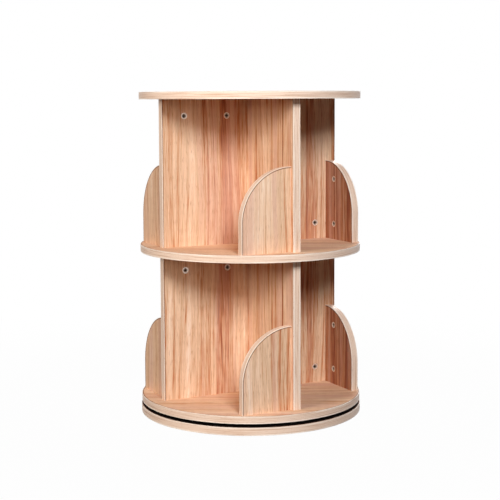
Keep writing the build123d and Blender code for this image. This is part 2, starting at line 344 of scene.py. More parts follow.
@dataclass(frozen=True)
class PrintPatches(PrintNoise):
    """Patches of the wood print with soft edges.

    Attributes:
        start: Noise at which a patch starts.
        end: Noise from which it is complete.
        low: Value between the patches.
        high: Value inside them.
    """

    start: float = 0.4
    end: float = 0.6
    low: float = 0.0
    high: float = 1.0

    def draw(self, tree: Tree, sheet: Node) -> Node:
        """Draw the patches on the sheet.

        Args:
            tree: Where the nodes go.
            sheet: Place on the sheet.

        Returns:
            The node that holds the value.
        """
        steps = {
            "Value": super().draw(tree, sheet),
            "From Min": self.start,
            "From Max": self.end,
            "To Min": self.low,
            "To Max": self.high,
        }
        return add_node(tree, "MapRange", steps, **SMOOTH)


@dataclass(frozen=True)
class WoodPrintLaminate:
    """Particle board faced with wood-print melamine paper, pressed against a satin plate.

    The print gives pinkish tan wood with long straight streaks, fine darker lines and pores.
    The plate leaves a dull sheen and pores that can be felt. Brown hot-melt glue shows as a
    line beside each edge band, and drilled walls show the chips.
    """

    dark: str = "#9C5637"
    brown: str = "#CD8B62"
    tan: str = "#E3C2A2"
    cream: str = "#F4D1B2"
    pale: str = "#FDE8D4"
    rosy: str = "#DEB2A2"
    pore: str = "#A5683F"
    glue: str = "#744029"
    chips: str = "#CDAE82"
    chip_gaps: str = "#9C7A50"
    broad_zones: PrintNoise = PrintNoise(34.0, 1600.0, detail=1.0, weight=0.7)
    streaks: PrintNoise = PrintNoise(8.0, 520.0, weight=1.1)
    lines: PrintNoise = PrintNoise(2.6, 300.0, weight=1.0)
    # Fibres and pores of real wood are 0.1 to 0.4 mm wide and are drawn coarser, so that they show
    fibres: PrintNoise = PrintNoise(1.2, 45.0, detail=1.0, weight=0.8)
    pores: PrintPatches = PrintPatches(0.8, 18.0, detail=1.0, start=0.6, end=0.7)
    pore_share: float = 0.45
    rosy_zones: PrintPatches = PrintPatches(30.0, 900.0, start=0.45, end=0.62, high=0.42)
    drift: PrintPatches = PrintPatches(120.0, 560.0, start=0.25, end=0.75, low=-7.0, high=7.0)
    mottling: PrintPatches = PrintPatches(5.0, 240.0, start=0.3, end=0.6, low=0.4)
    ring_wobble: PrintNoise = PrintNoise(16.0, 260.0, weight=2.4)
    ring_patches: PrintPatches = PrintPatches(22.0, 260.0, low=0.25)
    ring_spacing: float = 9.0
    dark_line: float = 0.18
    # Step to another stretch of noise, so that two layers don't vary together
    noise_step: tuple[float, float, float] = (310.0, 170.0, 5.0)
    other_face_shift: float = 140.0
    chip_size: float = 1.6
    glue_width: float = 1.5
    glue_share: float = 0.8
    pore_relief: float = 0.05
    roughness: float = 0.6
    sheen: float = 0.07

    def material(self, name: str, cut: SheetCut, middle: float, edge: BandedEdge) -> Material:
        """Make the laminate of one board.

        Args:
            name: Name of the material.
            cut: Where the board was sawn from the sheet.
            middle: Place of the board's middle layer through its thickness, in millimetres.
            edge: The edge that carries the band.

        Returns:
            The material.
        """
        surface = Surface(name, Roughness=self.roughness, IOR=1.5, Specular_IOR_Level=self.sheen)
        tree = surface.tree
        place = place_in_mm(tree, cut.turn)
        axes = add_node(tree, "SeparateXYZ", {"Vector": place}).outputs
        across, through, along = (axes[number] for number in cut.grain.value)
        from_middle = add_node(tree, "Math", {0: through, 1: middle}, operation="SUBTRACT")
        side = add_node(tree, "Math", {0: from_middle}, operation="SIGN")
        shifted = weighted_sum(tree, across, (side, self.other_face_shift / 2))
        sheet = add_node(tree, "CombineXYZ", {"X": shifted, "Y": along, "Z": cut.seed})
        colour, pore_height = self._print(tree, sheet, cut)
        # Painted shade: the upper face is painted near black in place of the shade in the turning
        # gap
        if cut.painted_shade_top:
            colour = lay_over(tree, colour, cut.painted_shade_top, side, start=-0.5, end=0.5)
        colour = self._with_glue_line(tree, colour, across, along, edge)
        colour = self._with_drilled_walls(tree, colour, place, cut)
        surface.drive("Base Color", colour)
        surface.emboss(pore_height, strength=0.5, depth=self.pore_relief)
        return surface.material

    def _print(self, tree: Tree, sheet: Node, cut: SheetCut) -> tuple[Node, Node]:
        """Draw the printed wood.

        Args:
            tree: Where the nodes go.
            sheet: Place on the sheet: across, along and seed, in millimetres.
            cut: Where the board was sawn from the sheet.

        Returns:
            The colour, and the height that the pores leave.
        """
        drift = add_node(tree, "CombineXYZ", {"X": self.drift.draw(tree, sheet)})
        bent = add_node(tree, "VectorMath", {0: sheet, 1: drift}, operation="ADD")
        apart = add_node(tree, "Mapping", {"Vector": bent, "Location": self.noise_step})
        lines = self.lines.draw(tree, bent)
        inside = [(self._inside(tree, bent, streak), streak) for streak in cut.streaks]

        layers = [
            (self.broad_zones.draw(tree, bent), self.broad_zones.weight),
            (self.streaks.draw(tree, apart), self.streaks.weight),
            (lines, self.lines.weight),
            (self.fibres.draw(tree, apart), self.fibres.weight),
        ]
        # Each noise is 0.5 on average, so half their weight comes off the tone
        average = cut.tone - sum(weight for _, weight in layers) / 2
        fine_lines = {"Value": lines, "From Min": 0.58, "From Max": 0.68}
        layers.append((add_node(tree, "MapRange", fine_lines, **SMOOTH), -self.dark_line))
        layers.append((self._rings(tree, bent, cut), -cut.figure))
        layers += [(share, streak.lighter) for share, streak in inside]
        tone = weighted_sum(tree, average, *layers)

        rosiness = weighted_sum(
            tree,
            self.rosy_zones.draw(tree, apart),
            *((share, streak.rosier) for share, streak in inside),
        )
        wood = self._wood_colour(tree, tone)
        blush = {MIX_FACTOR: rosiness, MIX_A: wood, MIX_B: self.rosy}
        wood = add_node(tree, "Mix", blush, data_type="RGBA")
        pores = self.pores.draw(tree, bent)
        amount = add_node(tree, "Math", {0: pores, 1: self.pore_share}, operation="MULTIPLY")
        inked = {MIX_FACTOR: amount, MIX_A: wood, MIX_B: self.pore}
        height = add_node(tree, "Math", {0: 1.0, 1: pores}, operation="SUBTRACT")
        return add_node(tree, "Mix", inked, data_type="RGBA"), height

    def _wood_colour(self, tree: Tree, tone: Node) -> Node:
        """Turn the tone into the colour of the wood.

        Args:
            tree: Where the nodes go.
            tone: The tone, from 0 for the darkest lines to 1 for nearly white wood.

        Returns:
            The node that holds the colour.
        """
        steps = {0.0: self.dark, 0.25: self.brown, 0.5: self.tan, 0.72: self.cream, 1.0: self.pale}
        ladder = add_node(tree, "ValToRGB", {"Fac": tone})
        rungs = ladder.color_ramp.elements
        while len(rungs) < len(steps):
            rungs.new(0.5)
        for rung, (position, colour) in zip(rungs, steps.items()):
            rung.position = position
            rung.color = linear(colour)
        return ladder

    def _rings(self, tree: Tree, bent: Node, cut: SheetCut) -> Node:
        """Growth rings round a heart line that runs a little askew behind the face.

        Args:
            tree: Where the nodes go.
            bent: Place on the sheet.
            cut: Where the board was sawn from the sheet.

        Returns:
            How dark each point is, from 0 in early wood to 1 in late wood.
        """
        axes = add_node(tree, "SeparateXYZ", {"Vector": bent}).outputs
        from_heart = add_node(tree, "Math", {0: axes["X"], 1: cut.heart}, operation="SUBTRACT")
        depth = weighted_sum(tree, cut.depth, (axes["Y"], cut.slope))
        out = add_node(tree, "CombineXYZ", {"X": from_heart, "Y": depth})
        radius = add_node(tree, "VectorMath", {0: out}, operation="LENGTH").outputs["Value"]
        wobble = (self.ring_wobble.draw(tree, bent), self.ring_wobble.weight)
        count = weighted_sum(tree, 0.0, (radius, 1 / self.ring_spacing), wobble)
        phase = add_node(tree, "Math", {0: count}, operation="FRACT")
        darkening = {"Value": phase, "From Min": 0.35, "From Max": 0.85}
        late_wood = add_node(tree, "MapRange", darkening, **SMOOTH)
        lightening = {"Value": phase, "From Min": 1.0, "From Max": 0.88}
        ring_end = add_node(tree, "MapRange", lightening, **SMOOTH)
        line = add_node(tree, "Math", {0: late_wood, 1: ring_end}, operation="MULTIPLY")
        patches = self.ring_patches.draw(tree, bent)
        return add_node(tree, "Math", {0: line, 1: patches}, operation="MULTIPLY")

    def _inside(self, tree: Tree, bent: Node, streak: Streak) -> Node:
        """How far inside a broad streak each point lies, with soft and uneven edges.

        Args:
            tree: Where the nodes go.
            bent: Place on the sheet.
            streak: The streak.

        Returns:
            The share, from 0 outside to 1 well inside.
        """
        across = add_node(tree, "SeparateXYZ", {"Vector": bent}).outputs["X"]
        distance = distance_from(tree, streak.place, across)
        outer, inner = streak.width * 0.55, streak.width * 0.3
        edges = {"Value": distance, "From Min": outer, "From Max": inner}
        share = add_node(tree, "MapRange", edges, **SMOOTH)
        mottling = self.mottling.draw(tree, bent)
        return add_node(tree, "Math", {0: share, 1: mottling}, operation="MULTIPLY")

    def _with_glue_line(
        self, tree: Tree, colour: Node, across: Socket, along: Socket, edge: BandedEdge
    ) -> Node:
        """Draw the line of glue where the face meets its band.

        Args:
            tree: Where the nodes go.
            colour: Colour of the face.
            across: Place across the board, in millimetres.
            along: Place along it.
            edge: The edge that carries the band.

        Returns:
            The colour with the line.
        """
        sideways = add_node(tree, "Math", {0: across, 1: edge.across}, operation="SUBTRACT")
        lengthways = add_node(tree, "Math", {0: along, 1: edge.along}, operation="SUBTRACT")
        lowest = {0: lengthways, 1: -edge.round_below}
        round_part = add_node(tree, "Math", lowest, operation="MAXIMUM")
        out = add_node(tree, "CombineXYZ", {"X": sideways, "Y": round_part})
        reach = add_node(tree, "VectorMath", {0: out}, operation="LENGTH").outputs["Value"]
        line = edge.radius - self.glue_width
        return lay_over(
            tree, colour, self.glue, reach, start=line - 0.3, end=line + 0.2, share=self.glue_share
        )

    def _with_drilled_walls(self, tree: Tree, colour: Node, place: Node, cut: SheetCut) -> Node:
        """Show the pressed wood chips on drilled walls, which don't look out of a face.

        Args:
            tree: Where the nodes go.
            colour: Colour of the faces.
            place: Place in millimetres.
            cut: Where the board was sawn from the sheet.

        Returns:
            The colour with the walls.
        """
        normal = add_node(tree, "TexCoord").outputs["Normal"]
        turn_back = {"Vector": normal, "Rotation": (0.0, 0.0, -math.radians(cut.turn))}
        turned = add_node(tree, "Mapping", turn_back, vector_type="VECTOR")
        through = add_node(tree, "SeparateXYZ", {"Vector": turned}).outputs[cut.grain.value[1]]
        flatness = add_node(tree, "Math", {0: through}, operation="ABSOLUTE")
        flakes = drawn_out_blots(tree, place, (self.chip_size,) * 3, detail=3.0)
        chips = lay_over(tree, self.chip_gaps, self.chips, flakes, start=0.35, end=0.6)
        return lay_over(tree, colour, chips, flatness, start=0.75, end=0.6)


@dataclass(frozen=True)
class PrintedEdgeBand:
    """Thin plastic edge band, extruded, printed with pale layered wood and glued on hot.

    It gives a cream edge, a little darker along its middle, with fine lines along it. The corners
    are trimmed round, and the line of light that each catches is painted on as a near-white
    colour, a painted highlight.
    """

    middle: str = "#F2DBC8"
    # Painted highlight: near white along both trimmed round corners
    corner: str = "#FFF2E4"
    line: str = "#BE8F68"
    fleck: str = "#A87852"
    highlight_start: float = 0.3
    highlight_end: float = 0.36
    line_width: float = 1.1
    line_length: float = 90.0
    line_relief: float = 0.03
    fleck_width: float = 0.5
    fleck_length: float = 5.0
    roughness: float = 0.4
    sheen: float = 0.25

    def material(self, name: str, across: int, middle: float, width: float) -> Material:
        """Make the band of one edge.

        Args:
            name: Name of the material.
            across: Number of the axis that runs across the band.
            middle: Place of the band's middle line on that axis, in millimetres.
            width: Width of the band in millimetres.

        Returns:
            The material.
        """
        surface = Surface(name, Roughness=self.roughness, IOR=1.5, Specular_IOR_Level=self.sheen)
        tree = surface.tree
        place = place_in_mm(tree)
        axes = add_node(tree, "SeparateXYZ", {"Vector": place}).outputs
        distance = distance_from(tree, middle, axes[across])
        # Painted highlight along the two corners of the band
        start, end = width * self.highlight_start, width * self.highlight_end
        colour = lay_over(tree, self.middle, self.corner, distance, start, end)
        line_size = self._drawn_out(across, self.line_width, self.line_length)
        lines = drawn_out_blots(tree, place, line_size)
        colour = lay_over(tree, colour, self.line, lines, start=0.5, end=0.64, share=0.55)
        fleck_size = self._drawn_out(across, self.fleck_width, self.fleck_length)
        flecks = drawn_out_blots(tree, place, fleck_size, detail=1.0)
        colour = lay_over(tree, colour, self.fleck, flecks, start=0.62, end=0.74, share=0.4)
        surface.drive("Base Color", colour)
        surface.emboss(lines, strength=0.3, depth=self.line_relief)
        return surface.material

    @staticmethod
    def _drawn_out(across: int, width: float, length: float) -> tuple[float, ...]:
        """Size of a mark on each axis: narrow across the band, long on the others."""
        return tuple(width if axis == across else length for axis in range(3))


@dataclass(frozen=True)
class MottledMetal:
    """Base of the metal finishes: one tone with clouds, and a roughness that varies with them."""

    name: str
    tone: str
    cloud: str
    smooth: float
    rough: float
    cloud_size: float
    relief: float = 0.0

    def material(self) -> Material:
        """Make the finish.

        Returns:
            The material.
        """
        surface = Surface(self.name, Metallic=1.0)
        tree = surface.tree
        clouds = drawn_out_blots(tree, place_in_mm(tree), (self.cloud_size,) * 3, detail=4.0)
        colour = lay_over(tree, self.tone, self.cloud, clouds, start=0.4, end=0.65)
        surface.drive("Base Color", colour)
        edges = {"Value": clouds, "From Min": 0.3, "From Max": 0.7}
        gloss = {**edges, "To Min": self.smooth, "To Max": self.rough}
        surface.drive("Roughness", add_node(tree, "MapRange", gloss, **SMOOTH))
        surface.emboss(clouds, strength=0.4, depth=self.relief)
        return surface.material


# Zinc-plated steel, bright dipped: bluish, with even gloss and faint bloom
ZINC_PLATED_STEEL = MottledMetal(
    "zinc_plated_steel", "#C4C8CB", "#A8AEB3", smooth=0.22, rough=0.4, cloud_size=1.5, relief=0.01
)
# Bearing steel, ground and lapped: near a mirror
LAPPED_BEARING_STEEL = MottledMetal(
    "lapped_bearing_steel", "#D2D3D4", "#C6C8CA", smooth=0.06, rough=0.12, cloud_size=2.0
)


@dataclass(frozen=True)
class TumbledZinc:
    """Die-cast zinc, tumbled, under a pale bloom, with light and shade painted on its faces.

    The rims are painted near white, partly pale metal and partly painted highlight. The recesses
    are painted darker, partly dull as-cast zinc and partly painted shade, and the deepest slots
    near black as painted shade. The cams' faces lie in planes across or along the arms, at one
    distance from the axis or from the arms' middle planes, so the depth below a face follows
    from the place alone.
    """

    # Rim colour: partly pale metal and partly painted highlight
    bright: str = "#FFF4EA"
    # Recess colour: partly dull as-cast zinc and partly painted shade
    dull: str = "#BCAD9E"
    # Painted shade: near black in the deepest part of the slots
    painted_slot_shade: str = "#241E1A"
    bloom: float = 0.6
    smooth: float = 0.3
    rough: float = 0.5
    rim_depth: float = 0.5
    recess_depth: float = 2.2
    pebble_size: float = 0.7
    relief: float = 0.03

    def material(self, name: str, face: float, looks_inward: bool) -> Material:
        """Make the finish of one set of cams.

        Args:
            name: Name of the material.
            face: Distance of the faces from the axis or from the middle plane, in millimetres.
            looks_inward: Whether the faces look at the axis, as on the end stops.

        Returns:
            The material.
        """
        surface = Surface(name, Metallic=1.0 - self.bloom)
        tree = surface.tree
        place = place_in_mm(tree)
        off_axis = add_node(tree, "VectorMath", {0: place}, operation="ABSOLUTE")
        axes = add_node(tree, "SeparateXYZ", {"Vector": off_axis}).outputs
        pick = "MAXIMUM" if looks_inward else "MINIMUM"
        reach = add_node(tree, "Math", {0: axes["X"], 1: axes["Y"]}, operation=pick)
        way = 1.0 if looks_inward else -1.0
        depth = weighted_sum(tree, -way * face, (reach, way))
        edges = {"Value": depth, "From Min": self.rim_depth, "From Max": self.rim_depth * 2}
        recess = add_node(tree, "MapRange", edges, **SMOOTH)
        # Painted light and shade: rims near white, recesses darker
        rim_and_recess_shading = {MIX_FACTOR: recess, MIX_A: self.bright, MIX_B: self.dull}
        colour = add_node(tree, "Mix", rim_and_recess_shading, data_type="RGBA")
        start, end = self.recess_depth / 2, self.recess_depth
        # Painted shade in the deepest part of the slots
        surface.drive("Base Color", lay_over(tree, colour, self.painted_slot_shade, depth, start, end))
        gloss = {"Value": recess, "To Min": self.smooth, "To Max": self.rough}
        surface.drive("Roughness", add_node(tree, "MapRange", gloss, **SMOOTH))
        pebbles = drawn_out_blots(tree, place, (self.pebble_size,) * 3, detail=3.0)
        surface.emboss(pebbles, strength=0.4, depth=self.relief)
        return surface.material


@dataclass(frozen=True)
class TurnedAluminium:
    """Aluminium rings turned on a lathe: fine circles round the axis, which spread the shine."""

    tone: str = "#D3D5D6"
    shade: str = "#B9BCBE"
    # A lathe leaves marks 0.1 to 0.2 mm apart, which are drawn coarser, so that they show
    pitch: float = 0.4
    relief: float = 0.02
    roughness: float = 0.3

    def material(self) -> Material:
        """Make the finish.

        Returns:
            The material.
        """
        surface = Surface("turned_aluminium", Metallic=1.0, Roughness=self.roughness)
        tree = surface.tree
        flattened = {0: place_in_mm(tree), 1: (1.0, 1.0, 0.0)}
        plan = add_node(tree, "VectorMath", flattened, operation="MULTIPLY")
        radius = add_node(tree, "VectorMath", {0: plan}, operation="LENGTH").outputs["Value"]
        turns = {0: radius, 1: 2 * math.pi / self.pitch}
        angle = add_node(tree, "Math", turns, operation="MULTIPLY")
        wave = add_node(tree, "Math", {0: angle}, operation="SINE")
        crests = {"Value": wave, "From Min": -1.0, "From Max": 1.0}
        marks = add_node(tree, "MapRange", crests, **SMOOTH)
        striped = {MIX_FACTOR: marks, MIX_A: self.tone, MIX_B: self.shade}
        surface.drive("Base Color", add_node(tree, "Mix", striped, data_type="RGBA"))
        surface.emboss(marks, strength=0.5, depth=self.relief)
        return surface.material


@dataclass(frozen=True)
class FlutedBeech:
    """Beech dowel rod, planed and pressed: pale pinkish wood with short darker ray flecks."""

    tone: str = "#DDBE92"
    fleck: str = "#B68A5C"
    fleck_length: float = 2.4
    fleck_width: float = 0.35

    def material(self) -> Material:
        """Make the finish.

        Returns:
            The material.
        """
        surface = Surface("beech_dowel_rod", Roughness=0.62, IOR=1.5)
        tree = surface.tree
        size = (self.fleck_width, self.fleck_width, self.fleck_length)
        flecks = drawn_out_blots(tree, place_in_mm(tree), size, detail=1.0)
        colour = lay_over(tree, self.tone, self.fleck, flecks, start=0.55, end=0.68, share=0.7)
        surface.drive("Base Color", colour)
        return surface.material


@dataclass(frozen=True)
class MouldedPlastic:
    """Base of the moulded finishes: one tone, clouded a little, with a fine moulded grain."""

    name: str
    tone: str
    cloud: str
    roughness: float
    grain_size: float
    relief: float
    cloud_size: float = 18.0

    def material(self) -> Material:
        """Make the finish.

        Returns:
            The material.
        """
        surface = Surface(self.name, Roughness=self.roughness, IOR=1.5)
        tree = surface.tree
        place = place_in_mm(tree)
        clouds = drawn_out_blots(tree, place, (self.cloud_size,) * 3)
        colour = lay_over(tree, self.tone, self.cloud, clouds, start=0.35, end=0.65)
        surface.drive("Base Color", colour)
        grain = drawn_out_blots(tree, place, (self.grain_size,) * 3)
        surface.emboss(grain, strength=0.4, depth=self.relief)
        return surface.material


# Nylon, injection moulded and undyed: milky, with a low sheen
NATURAL_NYLON = MouldedPlastic(
    "natural_nylon", "#E8E2D0", "#DED6C2", roughness=0.42, grain_size=0.5, relief=0.01
)
# Rubber, compression moulded and left matt: near black, dusty in its grain
MOULDED_RUBBER = MouldedPlastic(
    "moulded_rubber", "#262524", "#32302E", roughness=0.82, grain_size=0.4, relief=0.04
)


def dress(node: str, material: Material) -> None:
    """Give a node of the frame its finish.

    Args:
        node: Name of the node.
        material: The finish.
    """
    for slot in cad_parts[node].material_slots:
        slot.material = material
    LOG.info("%s: %s", node, material.name)


def span_mm(node: str, axis: int) -> tuple[float, float]:
    """Middle and width of a node's box on one axis, in millimetres."""
    low, high = (corner[axis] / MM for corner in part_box(node))
    return (low + high) / 2, high - low


def banded_edge(node: str, cut: SheetCut) -> BandedEdge:
    """Find the edge of a board that carries its band, from the board's own box.

    Args:
        node: Name of the board's node.
        cut: Where the board was sawn from the sheet.

    Returns:
        The edge.
    """
    low, high = (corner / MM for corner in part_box(node))
    if cut.grain is Grain.LYING:
        return BandedEdge(0.0, 0.0, high.x, round_below=high.x)
    axis = 1 if cut.turn else 0
    if not node.endswith("_end_stop"):
        return BandedEdge(0.0, high.z, max(high[axis], -low[axis]))
    width = high[axis] - low[axis]
    return BandedEdge(min(low[axis], high[axis], key=abs), high.z - width, width)


@dataclass
class BandedBoards:
    """Base of the boards: one laminate on their faces and one sort of band on their edges."""

    laminate: WoodPrintLaminate
    band: PrintedEdgeBand

    def _dress_board(self, node: str, cut: SheetCut) -> None:
        """Laminate one board.

        Args:
            node: Name of the board's node.
            cut: Where the board was sawn from the sheet.
        """
        axis = 2
        if cut.grain is Grain.UPRIGHT:
            axis = 0 if cut.turn else 1
        middle, _ = span_mm(node, axis)
        if cut.grain is Grain.UPRIGHT and cut.turn:
            middle = -middle * math.sin(math.radians(cut.turn))
        edge = banded_edge(node, cut)
        dress(node, self.laminate.material(f"laminate_{node}", cut, middle, edge))

    def _dress_band(self, node: str, across: int) -> None:
        """Finish one edge band, with the number of the axis that runs across it."""
        dress(node, self.band.material(f"edging_{node}", across, *span_mm(node, across)))


@dataclass
class RoundBoards(BandedBoards):
    """The four round boards and the edge band round each."""

    grain_turn: float = -27.0
    # Near black painted on the base's top, as painted shade for the turning gap
    painted_gap_shade: str = "#14100E"
    cuts: dict[str, SheetCut] = field(default_factory=dict)

    def __post_init__(self) -> None:
        """Saw each board from its own place on the sheet, the base with its top painted near black
        as painted shade for the turning gap.
        """
        for index, name in enumerate(("base_board", "bottom_shelf", "middle_shelf", "top_board")):
            self.cuts[name] = SheetCut(
                grain=Grain.LYING,
                turn=self.grain_turn,
                heart=-60.0 + 50.0 * index,
                depth=70.0,
                slope=0.03,
                tone=0.6,
                streaks=(Streak(40.0 - 35.0 * index, 40.0, -0.12),),
                painted_shade_top=self.painted_gap_shade if name == "base_board" else None,
                seed=3.0 + 7.0 * index,
            )

    def build(self) -> None:
        """Dress the boards and their bands."""
        for name, cut in self.cuts.items():
            self._dress_board(name, cut)
            self._dress_band(f"{name}_band", 2)


@dataclass
class DividerCross(BandedBoards):
    """The uprights of one tier: one long divider and two short ones, with end bands."""

    tier: str
    cuts: dict[str, SheetCut]

    def build(self) -> None:
        """Dress the dividers and their bands."""
        for name, cut in self.cuts.items():
            self._dress_board(f"{self.tier}_{name}_divider", cut)
        for arm, across in (("front", 0), ("back", 0), ("left", 1), ("right", 1)):
            self._dress_band(f"{self.tier}_{arm}_divider_band", across)


@dataclass
class EndStops(BandedBoards):
    """The four quarter-round end stops of one tier and the band over each."""

    tier: str
    cuts: dict[str, SheetCut]

    def build(self) -> None:
        """Dress the end stops and their bands."""
        for arm, cut in self.cuts.items():
            self._dress_board(f"{self.tier}_{arm}_end_stop", cut)
            self._dress_band(f"{self.tier}_{arm}_end_stop_band", 0 if cut.turn else 1)


@dataclass
class Fittings:
    """Cams, bolts and dowels that hold the boards together."""

    tiers: tuple[str, ...] = ("lower", "upper")

    def build(self) -> None:
        """Dress the fittings."""
        plated = ZINC_PLATED_STEEL.material()
        beech = FlutedBeech().material()
        # The dividers' faces from their middle plane, and the end stops' inner faces from the axis
        divider_face = span_mm(f"{self.tiers[0]}_left_divider", 1)[1] / 2
        stop_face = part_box(f"{self.tiers[0]}_right_end_stop")[0].x / MM
        divider_zinc = TumbledZinc().material("zinc_divider_cams", divider_face, looks_inward=False)
        stop_zinc = TumbledZinc().material("zinc_end_stop_cams", stop_face, looks_inward=True)
        for shelf in ("bottom_shelf", "middle_shelf", "top_board"):
            dress(f"{shelf}_cam_bolts", plated)
        for tier in self.tiers:
            dress(f"{tier}_divider_cams", divider_zinc)
            dress(f"{tier}_end_stop_cams", stop_zinc)
            dress(f"{tier}_end_stop_cam_bolts", plated)
            dress(f"{tier}_dowels", beech)
            dress(f"{tier}_cross_dowels", beech)
        for screws in ("outer_ring_screws", "inner_ring_screws"):
            dress(screws, plated)


@dataclass
class RingBearing:
    """The ring bearing in the turning gap."""

    rings: tuple[str, ...] = ("bearing_outer_ring", "bearing_inner_ring")
    balls: str = "bearing_balls"
    spacer: str = "bearing_ball_spacer"

    def build(self) -> None:
        """Dress the rings, the balls and their spacer."""
        aluminium = TurnedAluminium().material()
        for ring in self.rings:
            dress(ring, aluminium)
        dress(self.balls, LAPPED_BEARING_STEEL.material())
        dress(self.spacer, NATURAL_NYLON.material())


@dataclass
class FootPads:
    """Round rubber pads under the base board, each with a rounded rim and two moulded grooves."""

    node: str = "foot_pads"
    body: str = "base"
    slot: str = "foot_pad"
    rim_rounding: float = 0.5
    rim_steps: int = 4
    groove_depth: float = 0.5
    groove_width: float = 1.6
    groove_bottom: float = 0.6
    groove_radii: tuple[float, ...] = (5.0, 10.0)
    segments: int = 64

    def build(self) -> None:
        """Build all the pads as one piece in place of the frame's plain ones."""
        low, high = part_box(self.node)
        centres = [(low + high) / 2 for low, high in island_boxes(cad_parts[self.node])]
        radius = high.x / MM - max(centre.x for centre in centres) / MM
        profile = self._profile(radius, (high.z - low.z) / MM)
        pads = lathe(self.node + "_moulded", profile, centres, self.segments)
        pads.data.materials.append(MOULDED_RUBBER.material())
        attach(pads, self.body)
        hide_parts(self.node)
        LOG.info("%s: %d pads", pads.name, len(centres))

    def _profile(self, radius: float, thickness: float) -> list[tuple[float, float]]:
        """Half section of a pad as radius and height above the floor, in millimetres.

        Args:
            radius: Outer radius of the pad.
            thickness: Thickness of the pad.

        Returns:
            The points from the middle of the underside, over the rim, to the middle of the top.
        """
        points = [(0.0, 0.0)]
        mouth = self.groove_width / 2
        bottom = mouth * self.groove_bottom
        for groove in self.groove_radii:
            points += [
                (groove - mouth, 0.0),
                (groove - bottom, self.groove_depth),
                (groove + bottom, self.groove_depth),
                (groove + mouth, 0.0),
            ]
        for step in range(self.rim_steps + 1):
            angle = math.pi / 2 * step / self.rim_steps
            inset = self.rim_rounding * (1 - math.sin(angle))
            points.append((radius - inset, self.rim_rounding * (1 - math.cos(angle))))
        points += [(radius, thickness), (0.0, thickness)]
        return points


def put_in_scene(name: str, data: bpy.types.ID) -> bpy.types.Object:
    """Put a new object into the scene.

    Args:
        name: Name of the object.
        data: The mesh, light or camera that it shows.

    Returns:
        The object.
    """
    piece = bpy.data.objects.new(name, data)
    bpy.context.scene.collection.objects.link(piece)
    return piece


def island_boxes(
    source: bpy.types.Object, weld_distance: float = 1e-6
) -> list[tuple[Vector, Vector]]:
    """Boxes of the separate solids in a node.

    Args:
        source: Object of the node.
        weld_distance: Distance in metres under which two corners are one.

    Returns:
        The lowest and highest corner of each solid, in metres.
    """
    mesh = bmesh.new()
    mesh.from_mesh(source.data)
    bmesh.ops.remove_doubles(mesh, verts=mesh.verts, dist=weld_distance)
    left = set(mesh.verts)
    boxes = []
    while left:
        start = next(iter(left))
        found = {start}
        open_ends = [start]
        while open_ends:
            vertex = open_ends.pop()
            for link in vertex.link_edges:
                other = link.other_vert(vertex)
                if other not in found:
                    found.add(other)
                    open_ends.append(other)
        left -= found
        spans = list(zip(*(vertex.co for vertex in found)))
        boxes.append((Vector([min(span) for span in spans]), Vector([max(span) for span in spans])))
    mesh.free()
    boxes.sort(key=lambda box: (round(box[0].z, 5), round(box[0].y, 5), round(box[0].x, 5)))
    return boxes


def lathe(
    name: str,
    profile: list[tuple[float, float]],
    centres: list[Vector],
    segments: int,
    sharp_angle: float = 35.0,
) -> bpy.types.Object:
    """Turn a half section about upright axes.

    Args:
        name: Name of the new object.
        profile: Radius and height of each point, in millimetres, closed on the axis.
        centres: Where each copy's axis stands.
        segments: Steps round a full turn.
        sharp_angle: Angle in degrees from which an edge stays sharp.

    Returns:
        The new object, smooth shaded except at its sharp edges.
    """
    vertices: list[tuple[float, float, float]] = []
    faces: list[tuple[int, ...]] = []
    for centre in centres:
        rows = []
        for radius, height in profile:
            start = len(vertices)
            if radius == 0:
                vertices.append((centre.x, centre.y, height * MM))
                rows.append([start] * segments)
                continue
            for step in range(segments):
                angle = 2 * math.pi * step / segments
                x = centre.x + radius * MM * math.cos(angle)
                y = centre.y + radius * MM * math.sin(angle)
                vertices.append((x, y, height * MM))
            rows.append(list(range(start, start + segments)))
        for lower, upper in zip(rows, rows[1:]):
            for step in range(segments):
                after = (step + 1) % segments
                corners = (lower[step], lower[after], upper[after], upper[step])
                faces.append(tuple(dict.fromkeys(corners)))
    mesh = bpy.data.meshes.new(name)
    mesh.from_pydata(vertices, [], faces)
    mesh.validate()
    piece = put_in_scene(name, mesh)
    mesh.shade_smooth()
    mesh.set_sharp_from_angle(angle=math.radians(sharp_angle))
    return piece


@dataclass(frozen=True)
class Softbox:
    """A square softbox that faces the bookcase.

    Its angle is from the camera's side, positive to the right, and its rise is above the level,
    both in degrees. The distance from the aim point and the side of the square are in metres,
    and the power is in watts.
    """

    name: str
    angle: float
    rise: float
    distance: float
    size: float
    power: float
    colour: str = WHITE


KEY_SOFTBOX = Softbox("key_softbox", angle=12.0, rise=30.0, distance=3.4, size=0.95, power=86.0)
FILL_SOFTBOX = Softbox(
    "fill_softbox", angle=-45.0, rise=20.0, distance=3.0, size=1.2, power=46.0, colour="#FFF1E2"
)
BACK_SOFTBOX = Softbox("back_softbox", angle=165.0, rise=22.0, distance=3.6, size=1.4, power=70.0)


